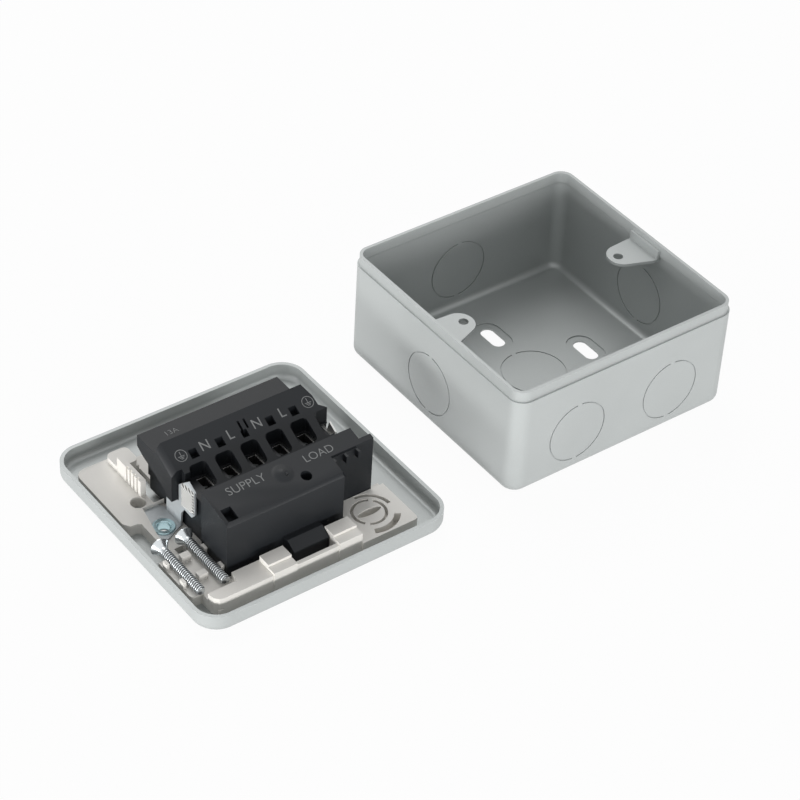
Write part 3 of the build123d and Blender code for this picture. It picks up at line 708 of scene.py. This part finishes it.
class SpurLooks(bpy.types.PropertyGroup):
    """Colours and small sizes that a user would change."""

    paint: bpy.props.FloatVectorProperty(
        name="Paint", description="Powder coat of the box and plate", subtype="COLOR",
        default=(0.44, 0.46, 0.455))
    black: bpy.props.FloatVectorProperty(
        name="Black moulding", description="Colour of the terminal module", subtype="COLOR",
        default=(0.008, 0.0095, 0.0115))
    cream: bpy.props.FloatVectorProperty(
        name="Cream moulding", description="Colour of the backing moulding", subtype="COLOR",
        default=(0.73, 0.71, 0.67))
    zinc: bpy.props.FloatVectorProperty(
        name="Zinc plate", description="Colour of the screws, the clips and the strap", subtype="COLOR",
        default=(0.72, 0.76, 0.78))
    eyelet: bpy.props.FloatVectorProperty(
        name="Eyelet", description="Colour of the bluish plate on the eyelet", subtype="COLOR",
        default=(0.5, 0.68, 0.72))
    brass: bpy.props.FloatVectorProperty(
        name="Brass", description="Colour of the live bars, the links and the fuse's caps", subtype="COLOR",
        default=(0.74, 0.6, 0.36))
    tin: bpy.props.FloatVectorProperty(
        name="Tin", description="Colour of the terminals and the earth leaf", subtype="COLOR",
        default=(0.7, 0.7, 0.68))
    mark: bpy.props.FloatVectorProperty(
        name="Marks", description="Colour of the printed marks", subtype="COLOR", default=(0.2, 0.205, 0.205))
    thread_radius: bpy.props.FloatProperty(
        name="Thread radius", description="Outer radius of the fixing screws' thread", unit="LENGTH",
        default=1.48 * MM)
    thread_pitch: bpy.props.FloatProperty(
        name="Thread pitch", description="Distance between two turns of the thread", unit="LENGTH",
        default=0.8 * MM)
    thread_depth: bpy.props.FloatProperty(
        name="Thread depth", description="Depth of the thread's groove", unit="LENGTH", default=0.36 * MM)
    lamp_power: bpy.props.FloatProperty(
        name="Lamp power", description="Strength that the three soft lamps share", subtype="POWER",
        default=14.0)


class SPUR_OT_sheet_metal(bpy.types.Operator):
    """Paint the steel box, its lugs and the face plate"""

    bl_idname = "spur.sheet_metal"
    bl_label = "Painted steel"

    def execute(self, context):
        paint = grey_paint(context.scene.spur_looks)
        dress(("back_box", "fixing_lug_left", "fixing_lug_right", "front_plate"), paint)
        return {"FINISHED"}


class SPUR_OT_mouldings(bpy.types.Operator):
    """Carve the cream backing and the black module"""

    bl_idname = "spur.mouldings"
    bl_label = "Mouldings"

    def execute(self, context):
        looks = context.scene.spur_looks
        black = black_moulding(looks)
        dress(("module_base", "fuse_carrier"), black)
        carve_moulding(cream_moulding(looks))
        carve_cover(black)
        carve_fuse_block(black)
        moulded_blister(black)
        dress(("fuse_tube",), ceramic(looks))
        return {"FINISHED"}


class SPUR_OT_terminals(bpy.types.Operator):
    """Cut the terminals and finish the links, the clips and the fuse's caps"""

    bl_idname = "spur.terminals"
    bl_label = "Terminals"

    def execute(self, context):
        looks = context.scene.spur_looks
        brass = bright_metal("brass_part", looks.brass, 0.28)
        zinc = bright_metal("terminal_zinc", looks.zinc, 0.25)
        tin = terminal_metal(looks)
        for way, place in zip(WAYS, WAY_PLACES):
            carve_terminal(way, place, tin)
        dress(("live_bar_in", "live_bar_out", "neutral_link", "earth_link"), brass)
        dress(("fuse_cap_left", "fuse_cap_right"), brass)
        # Painted shade: the clamp screws and the end pin take a tenth of the zinc's colour, for their place
        # down in the terminal wells.
        well_shaded_steel = bright_metal("clamp_steel", shade(looks.zinc, 0.1), 0.4)
        dress([f"clamp_screw_{way}" for way in WAYS[:-1]], well_shaded_steel)
        dress(("fuse_clip_left", "fuse_clip_right"), zinc)
        end = WAY_PLACES[-1]
        pin = prism(oval(end, CLAMP_LINE, 0.66, 0.66), 12.2, 16.6)
        slot = prism(slab(end - 1, end + 1, CLAMP_LINE - 0.2, CLAMP_LINE + 0.2), 16.1, 17)
        carve("end_clamp_pin", "clamp_screw_earth_out", [pin], [slot], well_shaded_steel, 0.05,
              "clamp_earth_out")
        return {"FINISHED"}


class SPUR_OT_strap(bpy.types.Operator):
    """Finish the earth strap and eyelet and give the leaf its ridges"""

    bl_idname = "spur.strap"
    bl_label = "Earth strap"

    def execute(self, context):
        looks = context.scene.spur_looks
        dress(("earth_strap",), bright_metal("strap_steel", shade(looks.zinc, 0.7), 0.45, 0.5))
        dress(("earth_eyelet",), bright_metal("eyelet_zinc", looks.eyelet, 0.22))
        ridged_leaf(looks)
        return {"FINISHED"}


class SPUR_OT_fixing_screws(bpy.types.Operator):
    """Turn the two loose fixing screws with their threads"""

    bl_idname = "spur.fixing_screws"
    bl_label = "Fixing screws"

    def execute(self, context):
        looks = context.scene.spur_looks
        for name in ("fixing_screw_left", "fixing_screw_right"):
            threaded_screw(name, looks)
        return {"FINISHED"}


class SPUR_OT_marks(bpy.types.Operator):
    """Print the plain terminal marks on the module"""

    bl_idname = "spur.marks"
    bl_label = "Terminal marks"

    def execute(self, context):
        ink = mark_paint(context.scene.spur_looks)
        for name, text, u in (("mark_neutral_in", "N", -14.1), ("mark_live_in", "L", -5.4),
                              ("mark_neutral_out", "N", 3.8), ("mark_live_out", "L", 12.6)):
            letters(name, text, 4.4, u, 3.0, LABEL_TOP, ink, 0.0)
        earth_mark("mark_earth_in", 3.8, -22.2, 3.0, LABEL_TOP, ink)
        earth_mark("mark_earth_out", 3.8, 21.7, 3.0, LABEL_TOP, ink)
        letters("mark_supply", "SUPPLY", 4.0, -13.6, -17.45, FUSE_TOP, ink)
        letters("mark_load", "LOAD", 3.8, 11.3, -17.6, FUSE_TOP, ink)
        letters("mark_rating", "13A", 2.8, -18.6, 13.9, STRIP_TOP, ink)
        return {"FINISHED"}


class SPUR_OT_stage(bpy.types.Operator):
    """Set the floor, the soft lamps and the camera"""

    bl_idname = "spur.stage"
    bl_label = "Stage"

    def execute(self, context):
        scene = context.scene
        scene.view_settings.view_transform = "Standard"
        place_camera(scene)
        light_world(scene)
        lay_floor()
        for name, place, width, height, share in LAMPS:
            hang_lamp(name, place, width, height, scene.spur_looks.lamp_power * share)
        return {"FINISHED"}


def place_camera(scene):
    """The camera: its back vector from azimuth and elevation, turned by a small roll, at a set distance."""
    azimuth = math.radians(-38.31)
    elevation = math.radians(39.82)
    roll = 0.060
    distance = 0.8456
    target = Vector((-42.59 * MM, 12.63 * MM, 0.0))
    back = Vector((math.sin(azimuth) * math.cos(elevation), -math.cos(azimuth) * math.cos(elevation),
                   math.sin(elevation)))
    level = Vector((0, 0, 1)).cross(back).normalized()
    upright = back.cross(level)
    right = math.cos(roll) * level + math.sin(roll) * upright
    up = math.cos(roll) * upright - math.sin(roll) * level
    data = bpy.data.cameras.new("camera")
    data.lens = 123.4
    data.sensor_width = 36.0
    data.clip_start = 0.01
    camera = bpy.data.objects.new("camera", data)
    turn = Matrix((right, up, back)).transposed().to_4x4()
    camera.matrix_world = Matrix.Translation(target + back * distance) @ turn
    scene.collection.objects.link(camera)
    scene.camera = camera


def light_world(scene):
    """A white surround that the camera and reflections see, and a softer one that lights the object."""
    world = bpy.data.worlds.new("surround")
    world.use_nodes = True
    scene.world = world
    graph = Graph(world.node_tree)
    graph.tree.nodes.clear()
    white = graph.node("ShaderNodeBackground", {}, {"Color": (1, 1, 1, 1), "Strength": 1.0})
    dim = 0.45
    soft = graph.node("ShaderNodeBackground", {}, {"Color": (0.97, 0.985, 1.0, 1), "Strength": dim})
    mixed = graph.node("ShaderNodeMixShader", {}, {0: graph.seen_directly(), 1: soft, 2: white})
    graph.node("ShaderNodeOutputWorld", {}, {"Surface": mixed})


def lay_floor():
    """A pale floor that is seen almost pure white, with a trace of the object's shadow.

    It lies a little below the object's underside, so that no two faces share one plane.
    """
    half, low = 6.0, -0.1 * MM
    mesh = bpy.data.meshes.new("floor")
    mesh.from_pydata([(-half, -half, low), (half, -half, low), (half, half, low), (-half, half, low)], [],
                     [(0, 1, 2, 3)])
    material = bpy.data.materials.new("floor_white")
    material.use_nodes = True
    graph = Graph(material.node_tree)
    graph.tree.nodes.clear()
    matt = graph.node("ShaderNodeBsdfDiffuse", {}, {"Color": (0.8, 0.8, 0.8, 1)})
    glow = graph.node("ShaderNodeEmission", {}, {"Color": (1, 1, 1, 1), "Strength": 1.0})
    glow_share = 0.95
    seen = graph.seen_directly() * glow_share
    mixed = graph.node("ShaderNodeMixShader", {}, {0: seen, 1: matt, 2: glow})
    graph.node("ShaderNodeOutputMaterial", {}, {"Surface": mixed})
    mesh.materials.append(material)
    floor = bpy.data.objects.new("floor", mesh)
    bpy.context.scene.collection.objects.link(floor)


def hang_lamp(name, place, width, height, power):
    """A soft lamp, wide and low or square, that faces the middle of the object."""
    data = bpy.data.lights.new(name, "AREA")
    data.shape = "RECTANGLE"
    data.size = width
    data.size_y = height
    data.energy = power
    lamp = bpy.data.objects.new(name, data)
    middle = Vector((-50 * MM, 0, 10 * MM))
    aim = middle - Vector(place)
    lamp.matrix_world = Matrix.Translation(place) @ aim.to_track_quat("-Z", "Y").to_matrix().to_4x4()
    bpy.context.scene.collection.objects.link(lamp)


OPERATORS = (SPUR_OT_sheet_metal, SPUR_OT_mouldings, SPUR_OT_terminals, SPUR_OT_strap, SPUR_OT_fixing_screws,
             SPUR_OT_marks, SPUR_OT_stage)


class SPUR_PT_panel(bpy.types.Panel):
    """Sizes, colours and pieces of the fused spur unit"""

    bl_label = "Fused spur unit"
    bl_space_type = "VIEW_3D"
    bl_region_type = "UI"
    bl_category = "Spur"

    def draw(self, context):
        looks = context.scene.spur_looks
        for name in SpurLooks.__annotations__:
            self.layout.prop(looks, name)
        for operator in OPERATORS:
            self.layout.operator(operator.bl_idname)


def register():
    for item in (SpurLooks, *OPERATORS, SPUR_PT_panel):
        bpy.utils.register_class(item)
    bpy.types.Scene.spur_looks = bpy.props.PointerProperty(type=SpurLooks)


def unregister():
    del bpy.types.Scene.spur_looks
    for item in (SPUR_PT_panel, *reversed(OPERATORS), SpurLooks):
        bpy.utils.unregister_class(item)


def main():
    """Registers the add-on and makes every piece in order."""
    register()
    bpy.ops.spur.sheet_metal()
    bpy.ops.spur.mouldings()
    bpy.ops.spur.terminals()
    bpy.ops.spur.strap()
    bpy.ops.spur.fixing_screws()
    bpy.ops.spur.marks()
    bpy.ops.spur.stage()


if __name__ == "__main__":
    main()
